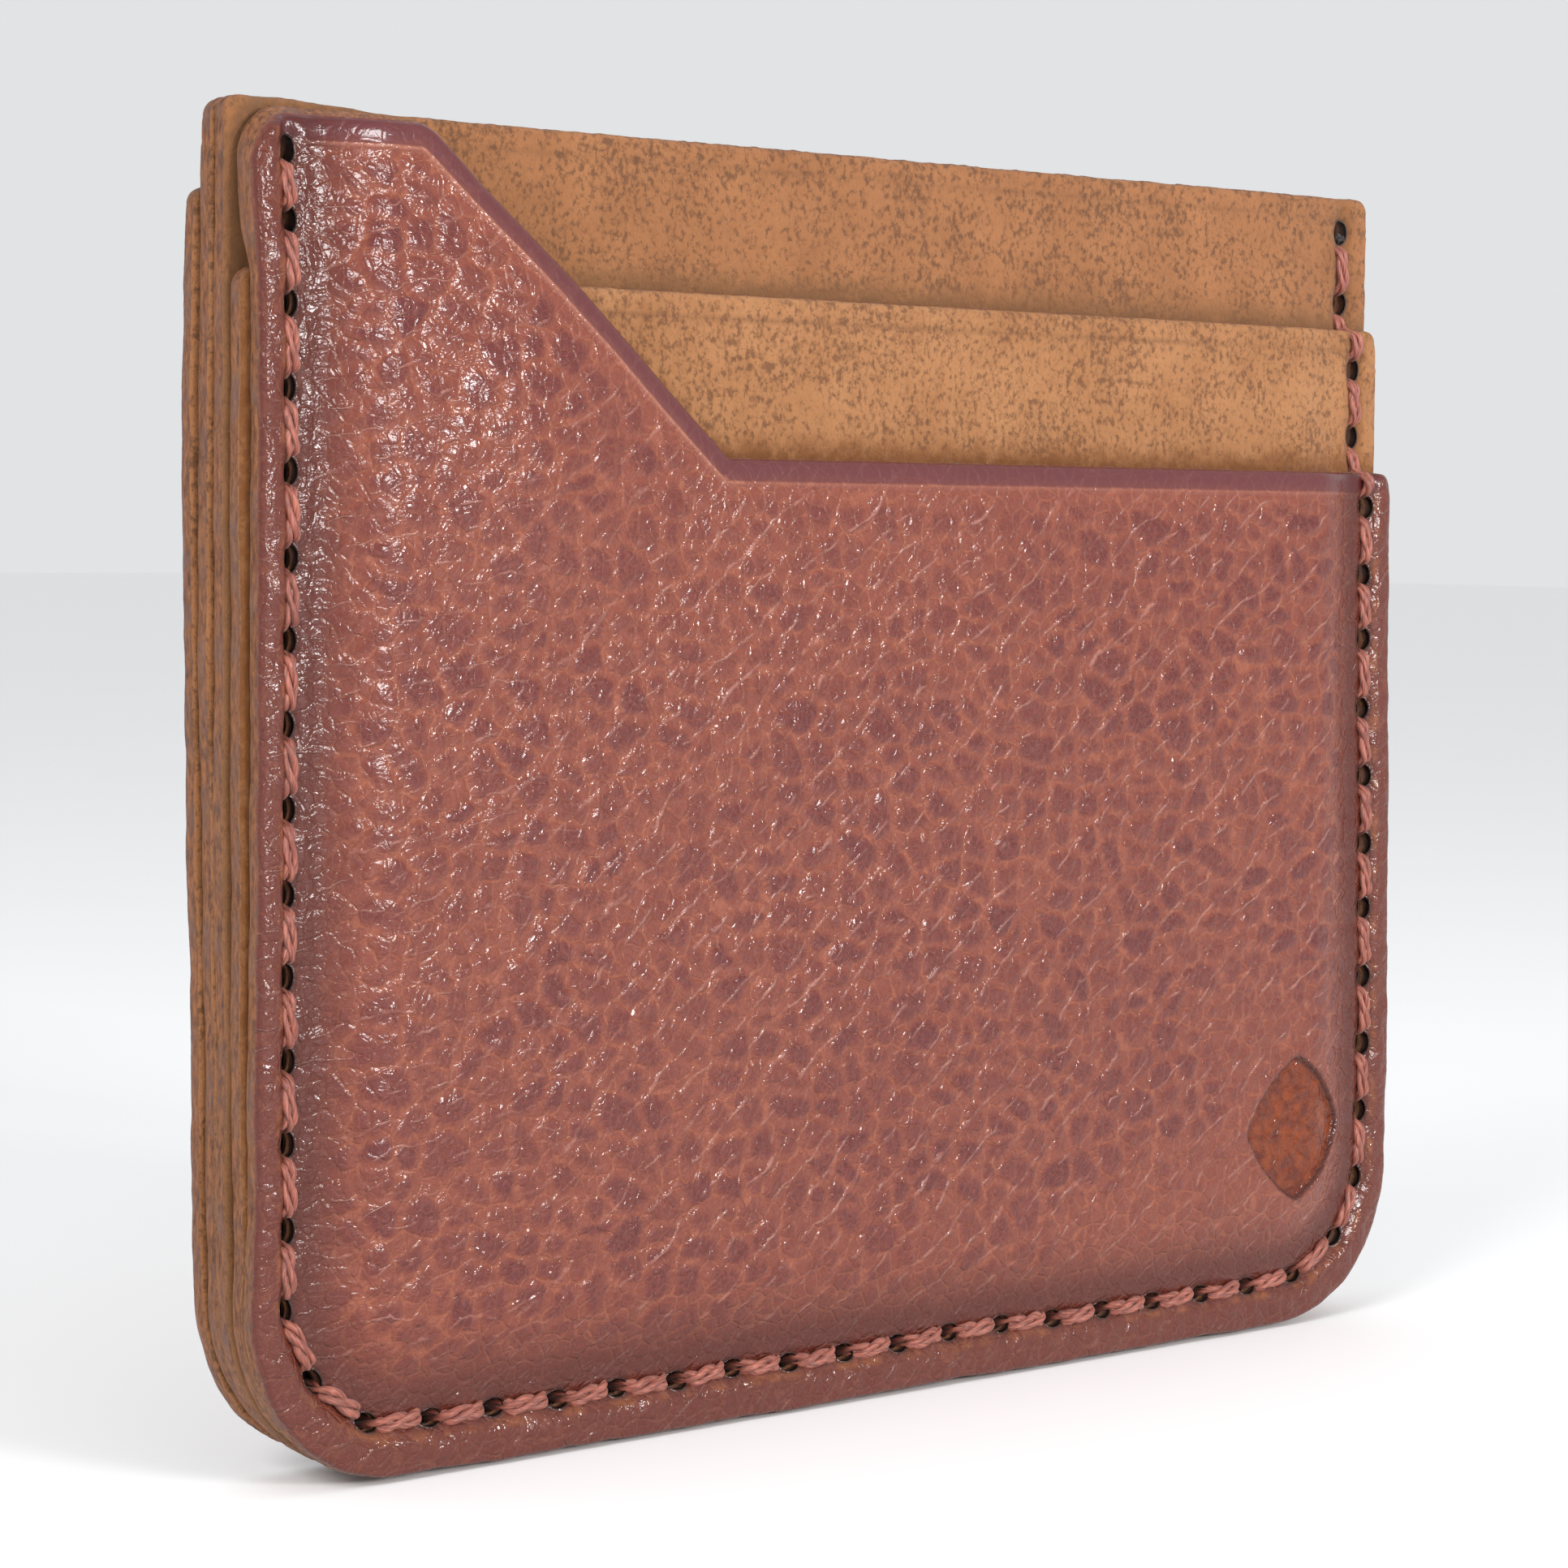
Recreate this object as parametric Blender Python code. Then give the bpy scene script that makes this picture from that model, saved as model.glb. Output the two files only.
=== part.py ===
"""Leather card holder, hand sewn from five plies and standing on its bottom edge.

X runs along the width, Z is up, and the front pocket faces -Y. The origin is in the middle of
the bottom edge. The plies are glued along both sides and the bottom, then sewn through with one
saddle-stitched thread. Each pair of neighbouring plies is open at the top, which makes a pocket.
"""

import math

import bpy

MM = 0.001

WIDTH = 100 * MM
HEIGHT = 80 * MM
LEATHER = 1.15 * MM                # thickness of one ply
PLY_GAP = 0.3 * MM                 # room between two plies
BOTTOM_RADIUS = 11 * MM
MOUTH_RADIUS = 1 * MM              # where a straight pocket mouth meets the side

FRONT_TOP = 79.5 * MM              # the front pocket's tall left end
FRONT_MOUTH = 60.5 * MM            # and its low mouth
FRONT_TONGUE = 11.8 * MM           # width of the tall end at its top
FRONT_CUT = 35.2 * MM              # from the left side to the foot of the slanted cut
FRONT_RADII = 3 * MM, 2.5 * MM     # the tall end's two top corners
MIDDLE_TOP = 70.7 * MM
BACK_TOP = 75.5 * MM

HOLES = 50
HOLE_RADIUS = 0.8 * MM
HOLE_SIDES = 6
HOLE_MARGIN = 1.5 * MM             # least leather above a hole
FIRST_STITCH = 3.9 * MM            # the first stitch is shorter than the rest
SEAM_SIDE = 2.5 * MM               # the seam's distance from the sides
SEAM_BOTTOM = 3.1 * MM             # and from the bottom edge
SEAM_RADIUS = 8.8 * MM
SEAM_TOP = 77.6 * MM               # height of the first and the last hole

THREAD_RADIUS = 0.28 * MM
THREAD_CLEARANCE = 0.1 * MM        # between the thread and the leather under it
THREAD_SIDESTEP = 0.33 * MM        # the two strands pass through a hole this far off its axis
THREAD_TURN = 0.35 * MM            # size of the bend where the thread dives into a hole
THREAD_END = 1.5 * MM              # how deep a cut end stops inside the last hole

GLUE_THICKNESS = 0.1 * MM
GLUE_EDGES = 0.4 * MM, 1.5 * MM    # distance of the glue line's two edges from the outline
GLUE_DROP = 1 * MM                 # from a pocket's mouth down to the end of its glue line

ARC_STEPS = 8

# Front to rear: name, top height, colour of the leather that shows.
PLIES = (
    ("front_panel", FRONT_TOP, (0.30, 0.09, 0.06)),
    ("middle_panel", MIDDLE_TOP, (0.60, 0.33, 0.16)),
    ("inner_front_panel", HEIGHT, (0.48, 0.26, 0.11)),
    ("inner_rear_panel", HEIGHT, (0.48, 0.26, 0.11)),
    ("back_panel", BACK_TOP, (0.30, 0.09, 0.06)),
)


def clear_scene():
    for item in list(bpy.data.objects):
        bpy.data.objects.remove(item)


def finish(name, colour, roughness):
    """A Principled material with one colour and roughness."""
    material = bpy.data.materials.new(name)
    material.use_nodes = True
    shader = material.node_tree.nodes["Principled BSDF"]
    shader.inputs["Base Color"].default_value = (*colour, 1)
    shader.inputs["Roughness"].default_value = roughness
    shader.inputs["Metallic"].default_value = 0
    return material


def ply_centre(index):
    """Y of the middle of a ply, counted from the front."""
    return (index - (len(PLIES) - 1) / 2) * (LEATHER + PLY_GAP)


def arc(centre, radius, start, end, steps=ARC_STEPS):
    """Points on a circle from one angle to another, in degrees."""
    angles = [math.radians(start + (end - start) * i / steps) for i in range(steps + 1)]
    return [(centre[0] + radius * math.cos(a), centre[1] + radius * math.sin(a)) for a in angles]


def rounded(corner, before, after, radius, steps=ARC_STEPS // 2):
    """A corner of an outline, between two neighbouring corners, replaced with a tangent arc."""
    towards = [(p[0] - corner[0], p[1] - corner[1]) for p in (before, after)]
    units = [(x / math.hypot(x, z), z / math.hypot(x, z)) for x, z in towards]
    half = math.acos(sum(a * b for a, b in zip(*units))) / 2
    middle = (units[0][0] + units[1][0], units[0][1] + units[1][1])
    reach = radius / math.sin(half) / math.hypot(*middle)
    centre = (corner[0] + middle[0] * reach, corner[1] + middle[1] * reach)
    ends = []
    for unit in units:
        tangent = radius / math.tan(half)
        foot = (corner[0] + unit[0] * tangent, corner[1] + unit[1] * tangent)
        ends.append(math.degrees(math.atan2(foot[1] - centre[1], foot[0] - centre[0])))
    turn = (ends[1] - ends[0] + 180) % 360 - 180
    return arc(centre, radius, ends[0], ends[0] + turn, steps)


def base_outline(inset, left_top, right_top):
    """The two sides and the rounded bottom, from the top left round to the top right."""
    side, radius = WIDTH / 2 - inset, BOTTOM_RADIUS - inset
    corner = WIDTH / 2 - BOTTOM_RADIUS
    return [
        (-side, left_top),
        *arc((-corner, BOTTOM_RADIUS), radius, 180, 270),
        *arc((corner, BOTTOM_RADIUS), radius, 270, 360),
        (side, right_top),
    ]


def straight_outline(top):
    """A ply whose mouth runs straight across."""
    left, right = (-WIDTH / 2, top), (WIDTH / 2, top)
    below_left, below_right = (-WIDTH / 2, 0), (WIDTH / 2, 0)
    body = base_outline(0, top, top)[1:-1]
    return [
        *rounded(left, right, below_left, MOUTH_RADIUS),
        *body,
        *rounded(right, below_right, left, MOUTH_RADIUS),
    ]


def front_outline():
    """The front ply: tall at the left, a slanted cut, then a low mouth to the right side."""
    left = -WIDTH / 2
    top_left = (left, FRONT_TOP)
    tongue = (left + FRONT_TONGUE, FRONT_TOP)
    foot = (left + FRONT_CUT, FRONT_MOUTH)
    right = (WIDTH / 2, FRONT_MOUTH)
    body = base_outline(0, FRONT_TOP, FRONT_MOUTH)[1:-1]
    return [
        *rounded(top_left, tongue, (left, 0), FRONT_RADII[0]),
        *body,
        *rounded(right, (WIDTH / 2, 0), foot, MOUTH_RADIUS),
        foot,
        *rounded(tongue, foot, top_left, FRONT_RADII[1]),
    ]


def seam_point(distance):
    """Place and direction on the seam line, at a distance along it from its top left end."""
    side, low = WIDTH / 2 - SEAM_SIDE, SEAM_BOTTOM + SEAM_RADIUS
    straight, quarter, bottom = SEAM_TOP - low, math.pi / 2 * SEAM_RADIUS, 2 * (side - SEAM_RADIUS)
    if distance <= straight:
        return (-side, SEAM_TOP - distance), (0, -1)
    distance -= straight
    if distance <= quarter:
        return on_corner(SEAM_RADIUS - side, low, math.pi + distance / SEAM_RADIUS)
    distance -= quarter
    if distance <= bottom:
        return (SEAM_RADIUS - side + distance, SEAM_BOTTOM), (1, 0)
    distance -= bottom
    if distance <= quarter:
        return on_corner(side - SEAM_RADIUS, low, 1.5 * math.pi + distance / SEAM_RADIUS)
    return (side, low + distance - quarter), (0, 1)


def on_corner(x, z, angle):
    """Place and direction on one of the seam's rounded corners."""
    across, up = math.cos(angle), math.sin(angle)
    return (x + SEAM_RADIUS * across, z + SEAM_RADIUS * up), (-up, across)


def seam_holes():
    """Place and direction of every hole."""
    straight = SEAM_TOP - SEAM_BOTTOM - SEAM_RADIUS
    length = 2 * straight + math.pi * SEAM_RADIUS + WIDTH - 2 * (SEAM_SIDE + SEAM_RADIUS)
    pitch = (length - FIRST_STITCH) / (HOLES - 2)
    return [seam_point(0)] + [seam_point(FIRST_STITCH + pitch * i) for i in range(HOLES - 1)]


def ply_top(index, x):
    """Height of a ply's mouth at the seam on its left or its right side."""
    return FRONT_MOUTH if index == 0 and x > 0 else PLIES[index][1]


def sew_through(index, place):
    """Whether the seam passes through this ply at this place."""
    return place[1] < ply_top(index, place[0]) - HOLE_MARGIN


def plate(name, rings, thickness, y, material):
    """A flat piece: a filled outline, less the rings after the first, with an even thickness."""
    curve = bpy.data.curves.new(name, "CURVE")
    curve.dimensions = "2D"
    curve.fill_mode = "BOTH"
    curve.extrude = thickness / 2
    curve.render_resolution_u = 0
    for ring in rings:
        spline = curve.splines.new("POLY")
        spline.points.add(len(ring) - 1)
        for point, (x, z) in zip(spline.points, ring):
            point.co = (x, z, 0, 1)
        spline.use_cyclic_u = True
    curve.materials.append(material)
    piece = bpy.data.objects.new(name, curve)
    piece.location.y = y
    piece.rotation_euler.x = math.pi / 2
    bpy.context.scene.collection.objects.link(piece)
    return piece


def make_plies():
    for index, (name, top, colour) in enumerate(PLIES):
        outline = front_outline() if index == 0 else straight_outline(top)
        holes = [
            arc(place, HOLE_RADIUS, 0, 360, HOLE_SIDES)[:-1]
            for place, _ in seam_holes()
            if sew_through(index, place)
        ]
        leather = finish(name + "_leather", colour, 0.55)
        plate(name, [outline, *holes], LEATHER, ply_centre(index), leather)


def make_glue():
    """One U-shaped line of contact glue between each two neighbouring plies."""
    glue = finish("dried_glue", (0.35, 0.22, 0.08), 0.4)
    outer, inner = GLUE_EDGES
    for index in range(len(PLIES) - 1):
        left, right = [
            min(ply_top(index, side), ply_top(index + 1, side)) - GLUE_DROP for side in (-1, 1)
        ]
        ring = base_outline(outer, left, right) + base_outline(inner, left, right)[::-1]
        y = (ply_centre(index) + ply_centre(index + 1)) / 2
        plate(f"glue_line_{index + 1}", [ring], GLUE_THICKNESS, y, glue)


def surface(face, place):
    """Y of the outermost leather at a place on the seam, and the height of its mouth there."""
    order = range(len(PLIES)) if face < 0 else range(len(PLIES) - 1, -1, -1)
    index = next(i for i in order if sew_through(i, place))
    return ply_centre(index) + face * LEATHER / 2, ply_top(index, place[0])


def run(face, start, end):
    """Thread lying on one face (-1 front, 1 rear) from one hole to the next, slightly aslant."""
    lift = THREAD_RADIUS + THREAD_CLEARANCE
    points = []
    levels = []
    for (place, along), side in ((start, -face), (end, face)):
        level, mouth = surface(face, place)
        level += face * lift
        sideways = along[1] * side * THREAD_SIDESTEP, -along[0] * side * THREAD_SIDESTEP
        x, z = place[0] + sideways[0], place[1] + sideways[1]
        step = THREAD_TURN if side == -face else -THREAD_TURN
        bend = [(x, level - face * THREAD_TURN, z), (x + along[0] * step, level, z + along[1] * step)]
        points.append(bend if side == -face else bend[::-1])
        levels.append((level, mouth))
    return points[0] + over_the_step(face, levels, points) + points[1]


def over_the_step(face, levels, points):
    """The extra point where a run passes a pocket's mouth and drops to the ply behind it."""
    (first, first_mouth), (last, last_mouth) = levels
    if abs(first - last) < THREAD_CLEARANCE:
        return []
    outer, mouth = (first, first_mouth) if face * (first - last) > 0 else (last, last_mouth)
    return [(points[0][1][0], outer, mouth + THREAD_RADIUS + THREAD_CLEARANCE)]


def strand(face, holes):
    """Half of the thread: it lies on the two faces in turn and its cut end stays in a hole."""
    points = []
    for start, end in zip(holes, holes[1:]):
        points += run(face, start, end)
        face = -face
    x, y, z = points[-1]
    points.append((x, y + face * THREAD_END, z))
    return points


def make_thread():
    """The saddle stitch: both halves start in the first hole, one on each face."""
    holes = seam_holes()
    points = strand(1, holes)[::-1] + strand(-1, holes)
    curve = bpy.data.curves.new("stitch_thread", "CURVE")
    curve.dimensions = "3D"
    curve.bevel_depth = THREAD_RADIUS
    curve.bevel_resolution = 0
    curve.render_resolution_u = 0
    curve.use_fill_caps = True
    spline = curve.splines.new("POLY")
    spline.points.add(len(points) - 1)
    for point, place in zip(spline.points, points):
        point.co = (*place, 1)
    curve.materials.append(finish("waxed_thread", (0.56, 0.20, 0.13), 0.45))
    thread = bpy.data.objects.new("stitch_thread", curve)
    bpy.context.scene.collection.objects.link(thread)


clear_scene()
make_plies()
make_glue()
make_thread()
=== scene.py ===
"""The looks of a hand-sewn leather card holder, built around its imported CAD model.

Shapes are worked out in millimetres: x along the width, z up, y from the front ply (-y) to the
back. Each ply is one closed mesh: a front and a back face, joined by the raw cut edge and by
the walls of its stitch holes.
"""

import math

import bpy
import numpy as np
from mathutils import Matrix, Vector
from mathutils.geometry import delaunay_2d_cdt


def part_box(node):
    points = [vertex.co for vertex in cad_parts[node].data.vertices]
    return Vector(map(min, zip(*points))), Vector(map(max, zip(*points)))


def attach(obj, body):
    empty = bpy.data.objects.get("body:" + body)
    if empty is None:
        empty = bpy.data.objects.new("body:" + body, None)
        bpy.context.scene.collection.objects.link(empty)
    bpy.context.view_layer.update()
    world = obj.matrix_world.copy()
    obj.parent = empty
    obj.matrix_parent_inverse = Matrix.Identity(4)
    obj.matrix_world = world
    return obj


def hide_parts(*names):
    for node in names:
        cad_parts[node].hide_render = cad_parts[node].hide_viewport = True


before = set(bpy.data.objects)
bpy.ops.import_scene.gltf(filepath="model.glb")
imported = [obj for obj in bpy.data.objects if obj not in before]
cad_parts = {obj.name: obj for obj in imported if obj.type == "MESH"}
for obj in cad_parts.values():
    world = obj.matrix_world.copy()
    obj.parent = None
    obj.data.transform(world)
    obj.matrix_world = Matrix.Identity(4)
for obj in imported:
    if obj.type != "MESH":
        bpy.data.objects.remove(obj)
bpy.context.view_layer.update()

MM = 0.001

# The driving sizes, in millimetres, from the frame
LOW, HIGH = [np.array(corner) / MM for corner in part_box("inner_front_panel")]
HALF_WIDTH, HEIGHT = HIGH[0], HIGH[2]
LEATHER = HIGH[1] - LOW[1]
PLY_NODES = ("front_panel", "middle_panel", "inner_front_panel", "inner_rear_panel", "back_panel")
PLY_Y = [sum(corner[1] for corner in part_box(node)) / 2 / MM for node in PLY_NODES]
PLY_TOP = [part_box(node)[1][2] / MM for node in PLY_NODES]

# The outlines, as in the CAD
BOTTOM_RADIUS = 11.0
MOUTH_RADIUS = 1.0
FRONT_MOUTH = 60.5
FRONT_TONGUE = 11.8  # width of the front ply's tall end
FRONT_CUT = 35.2  # from the left side to the foot of the slant
FRONT_RADII = 3.0, 2.5  # the tall end's two top corners

# The seam, as in the CAD
HOLES = 50
HOLE_MARGIN = 1.5  # least leather above a hole
FIRST_STITCH = 3.9
SEAM_TOP = 77.6
SEAM_SHAPE = 2.5, 3.1, 8.8  # inset from the sides and the bottom, radius
HOLE_SIZE = 0.84, 0.56  # half length along the seam, half width
PRICKED = 0.12  # most a hole is off the line

# The meshes
EDGE_RINGS = 0.04, 0.14, 0.28, 0.46, 0.75  # insets of the rings that round a ply's edge
EDGE_ROWS = 6  # rows of faces across the cut edge
RING_STEP = 0.3
COARSE = 2.4  # spacing of points where nothing is seen
CLEAR_RIM = 0.95  # the net of points starts this far from the rim
HOLE_POINTS = 18
HOLE_RINGS = 1.25, 1.6, 2.1  # rings round a hole, in hole radii

# The front's features
MARK_CENTRE = 39.2, 14.1
MARK_SIZE = 5.0
MARK_ROUND = 1.35
CREASE = 1.45  # the creased line's distance from a mouth

# The stage
FLOOR_SIZE = 6.0
FLOOR_DROP = 0.3  # how far the lowest uneven edge is below z = 0
CAMERA_PLACE = -0.1976, -0.2079, 0.0571
CAMERA_ANGLES = 42.68, 3.50, 0.66  # yaw, downward pitch and roll, in degrees
LENS = 101.2
SKY = 0.97, 0.985, 1
SKY_STRENGTH = 0.78
LIGHTS = (  # name, place, aimed at, size, power
    ("key", (0.03, -0.62, 0.22), (0, 0, 0.05), 0.14, 2.1),
    ("glint", (0.154, -0.46, 0.13), (-0.03, 0, 0.06), 0.06, 0.8),
    ("side", (-0.5, -0.2, 0.35), (0, 0, 0.04), 0.2, 1.9),
)


# ---------------- patterns


def smooth(low, high, value):
    """0 below low, 1 above high, and an S curve between."""
    t = np.clip((value - low) / (high - low), 0, 1)
    return t * t * (3 - 2 * t)


def bell(value, centre, width):
    return np.exp(-(((value - centre) / width) ** 2))


def noise(p, q, seed):
    """Gradient noise, about -1 to 1, with features one unit across."""
    angles = np.random.RandomState(seed).uniform(0, 2 * math.pi, (64, 64))
    i, j = np.floor(p).astype(int), np.floor(q).astype(int)
    f, g = p - i, q - j

    def corner(a, b):
        angle = angles[(i + a) % 64, (j + b) % 64]
        return np.cos(angle) * (f - a) + np.sin(angle) * (g - b)

    u, v = f * f * f * (f * (f * 6 - 15) + 10), g * g * g * (g * (g * 6 - 15) + 10)
    low = corner(0, 0) * (1 - u) + corner(1, 0) * u
    high = corner(0, 1) * (1 - u) + corner(1, 1) * u
    return 1.5 * (low * (1 - v) + high * v)


def layers(p, q, seed, octaves=3):
    return sum(noise(p * 2**k, q * 2**k, seed + k) / 2**k for k in range(octaves))


def pebbles(p, q, seed):
    """Leather grain: how raised a place is, and how close it is to the middle of its pebble."""
    places = np.random.RandomState(seed).uniform(0.08, 0.92, (64, 64, 2))
    sizes = np.random.RandomState(seed + 1).uniform(0, 1, (64, 64))
    i, j = np.floor(p).astype(int), np.floor(q).astype(int)
    near = np.full(p.shape, 9.0)
    second = near.copy()
    size = near.copy()
    for a in (-1, 0, 1):
        for b in (-1, 0, 1):
            place = places[(i + a) % 64, (j + b) % 64]
            far = np.hypot(i + a + place[..., 0] - p, j + b + place[..., 1] - q)
            second = np.minimum(second, np.maximum(near, far))
            size = np.where(far < near, sizes[(i + a) % 64, (j + b) % 64], size)
            near = np.minimum(near, far)
    return smooth(0, 0.4, second - near), smooth(0.06, 0.4, second - near) * (0.55 + 0.45 * size)


# ---------------- outlines


def arc(centre, radius, start, end, step=0.3):
    steps = max(4, round(abs(math.radians(end - start)) * radius / step))
    angles = [math.radians(start + (end - start) * i / steps) for i in range(steps + 1)]
    return [(centre[0] + radius * math.cos(a), centre[1] + radius * math.sin(a)) for a in angles]


def rounded(corner, before, after, radius):
    """A corner between two neighbours, replaced with a tangent arc."""
    towards = [(p[0] - corner[0], p[1] - corner[1]) for p in (before, after)]
    units = [(x / math.hypot(x, z), z / math.hypot(x, z)) for x, z in towards]
    half = math.acos(sum(a * b for a, b in zip(*units))) / 2
    middle = (units[0][0] + units[1][0], units[0][1] + units[1][1])
    reach = radius / math.sin(half) / math.hypot(*middle)
    centre = (corner[0] + middle[0] * reach, corner[1] + middle[1] * reach)
    ends = []
    for unit in units:
        tangent = radius / math.tan(half)
        foot = (corner[0] + unit[0] * tangent, corner[1] + unit[1] * tangent)
        ends.append(math.degrees(math.atan2(foot[1] - centre[1], foot[0] - centre[0])))
    turn = (ends[1] - ends[0] + 180) % 360 - 180
    return arc(centre, radius, ends[0], ends[0] + turn, 0.2)


def mouth_of(ply):
    """A ply's mouth, from its right side to its left side."""
    top = PLY_TOP[ply]
    left, right = (-HALF_WIDTH, top), (HALF_WIDTH, top)
    below_left, below_right = (-HALF_WIDTH, 0), (HALF_WIDTH, 0)
    if ply:
        ends = (right, below_right, left), (left, right, below_left)
        return [point for end in ends for point in rounded(*end, MOUTH_RADIUS)]
    right = (HALF_WIDTH, FRONT_MOUTH)
    tongue = (-HALF_WIDTH + FRONT_TONGUE, top)
    foot = (-HALF_WIDTH + FRONT_CUT, FRONT_MOUTH)
    return [
        *rounded(right, below_right, foot, MOUTH_RADIUS),
        foot,
        *rounded(tongue, foot, left, FRONT_RADII[1]),
        *rounded(left, tongue, below_left, FRONT_RADII[0]),
    ]


def outline_of(ply):
    """The whole outline, from the left side down and round, with a point every RING_STEP."""
    corner = HALF_WIDTH - BOTTOM_RADIUS
    ring = [
        *arc((-corner, BOTTOM_RADIUS), BOTTOM_RADIUS, 180, 270),
        *arc((corner, BOTTOM_RADIUS), BOTTOM_RADIUS, 270, 360),
        *mouth_of(ply),
    ]
    points = []
    for (x0, z0), (x1, z1) in zip(ring, ring[1:] + ring[:1]):
        steps = max(1, round(math.hypot(x1 - x0, z1 - z0) / RING_STEP))
        points += [(x0 + (x1 - x0) * i / steps, z0 + (z1 - z0) * i / steps) for i in range(steps)]
    return np.array(points)


def normals_of(ring):
    """Outward normals of a closed ring that runs anticlockwise."""
    along = np.roll(ring, -1, 0) - np.roll(ring, 1, 0)
    out = np.stack([along[:, 1], -along[:, 0]], 1)
    return out / np.linalg.norm(out, axis=1)[:, None]


def rim_distance(x, z, side=0.0, bottom=0.0, radius=BOTTOM_RADIUS):
    """Distance inboard of a U that runs down one side, round the bottom and up the other."""
    beside = radius - (HALF_WIDTH - side - np.abs(x))
    below = radius - (z - bottom)
    corner = (beside > 0) & (below > 0)
    return radius - np.where(corner, np.hypot(beside, below), np.maximum(beside, below))


def seam_distance(x, z):
    """Distance from the seam line: below 0 between the seam and the edge, above 0 inboard."""
    return rim_distance(x, z, *SEAM_SHAPE)


def rim_direction(x, z):
    """Unit vector from a place towards the nearest part of the rim."""
    beside = np.maximum(BOTTOM_RADIUS - (HALF_WIDTH - np.abs(x)), 0)
    below = np.maximum(BOTTOM_RADIUS - z, 0)
    size = np.maximum(np.hypot(beside, below), 1e-6)
    return np.sign(x) * beside / size, -below / size


def mouth_height(ply, x):
    line = np.array(sorted(mouth_of(ply)))
    return np.interp(x, line[:, 0], line[:, 1])


def exposed(ply, side, x, z):
    """How far a place on a ply's face is above the plies that cover that face."""
    covers = range(ply) if side < 0 else range(ply + 1, len(PLY_NODES))
    return z - np.max([mouth_height(other, x) for other in covers] + [np.full_like(x, -9.0)], 0)


def line_distance(x, z, line):
    """Distance to a polyline."""
    best = np.full(x.shape, 1e9)
    for (x0, z0), (x1, z1) in zip(line, line[1:]):
        dx, dz = x1 - x0, z1 - z0
        t = np.clip(((x - x0) * dx + (z - z0) * dz) / (dx * dx + dz * dz), 0, 1)
        best = np.minimum(best, np.hypot(x - x0 - t * dx, z - z0 - t * dz))
    return best


def mark_distance(x, z):
    """1 on the edge of the pressed lozenge, less inside."""
    dx, dz = np.abs(x - MARK_CENTRE[0]), np.abs(z - MARK_CENTRE[1])
    return (dx**MARK_ROUND + dz**MARK_ROUND) ** (1 / MARK_ROUND) / MARK_SIZE


def mark_ring(scale):
    angles = np.linspace(0, 2 * math.pi, 121)[:-1]
    c, s = np.cos(angles), np.sin(angles)
    power = 2 / MARK_ROUND
    x = MARK_CENTRE[0] + scale * MARK_SIZE * np.sign(c) * np.abs(c) ** power
    z = MARK_CENTRE[1] + scale * MARK_SIZE * np.sign(s) * np.abs(s) ** power
    return np.stack([x, z], 1)


# ---------------- seam


def seam_point(distance):
    """Place and direction on the seam line, measured from its top left end."""
    inset, bottom, radius = SEAM_SHAPE
    side, low = HALF_WIDTH - inset, bottom + radius
    straight, quarter, base = SEAM_TOP - low, math.pi / 2 * radius, 2 * (side - radius)
    if distance <= straight:
        return (-side, SEAM_TOP - distance), (0, -1)
    distance -= straight
    if distance <= quarter:
        return on_corner(radius - side, low, radius, math.pi + distance / radius)
    distance -= quarter
    if distance <= base:
        return (radius - side + distance, bottom), (1, 0)
    distance -= base
    if distance <= quarter:
        return on_corner(side - radius, low, radius, 1.5 * math.pi + distance / radius)
    return (side, low + distance - quarter), (0, 1)


def on_corner(x, z, radius, angle):
    across, up = math.cos(angle), math.sin(angle)
    return (x + radius * across, z + radius * up), (-up, across)


def seam_holes():
    """Place and direction of every hole; hand-pricked, so each is a little off the line."""
    wander = np.random.RandomState(5).uniform(-PRICKED, PRICKED, (HOLES, 2))
    inset, bottom, radius = SEAM_SHAPE
    length = 2 * (SEAM_TOP - bottom + HALF_WIDTH - inset) + (math.pi - 4) * radius
    pitch = (length - FIRST_STITCH) / (HOLES - 2)
    holes = []
    for i in range(HOLES):
        place, along = seam_point(FIRST_STITCH + pitch * (i - 1) if i else 0)
        off, on = wander[i]
        place = np.array(place) + np.array([along[1], -along[0]]) * off + np.array(along) * on
        holes.append((place, np.array(along)))
    return holes


SEAM = seam_holes()


def ply_top(ply, x):
    return FRONT_MOUTH if ply == 0 and x > 0 else PLY_TOP[ply]


def sewn(ply, place):
    return place[1] < ply_top(ply, place[0]) - HOLE_MARGIN


def hole_ring(hole, scale):
    (x, z), (tx, tz) = hole
    angles = np.arange(HOLE_POINTS) * 2 * math.pi / HOLE_POINTS
    along, across = np.cos(angles) * HOLE_SIZE[0] * scale, np.sin(angles) * HOLE_SIZE[1] * scale
    return np.stack([x + along * tx + across * tz, z + along * tz - across * tx], 1)


def hole_distance(x, z, holes):
    """Distance from the nearest hole, counted in hole radii: 1 on its edge."""
    best = np.full(x.shape, 9.0)
    for (hx, hz), (tx, tz) in holes:
        dx, dz = x - hx, z - hz
        along, across = dx * tx + dz * tz, dx * tz - dz * tx
        best = np.minimum(best, np.hypot(along / HOLE_SIZE[0], across / HOLE_SIZE[1]))
    return best


# ---------------- relief of the faces


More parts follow.
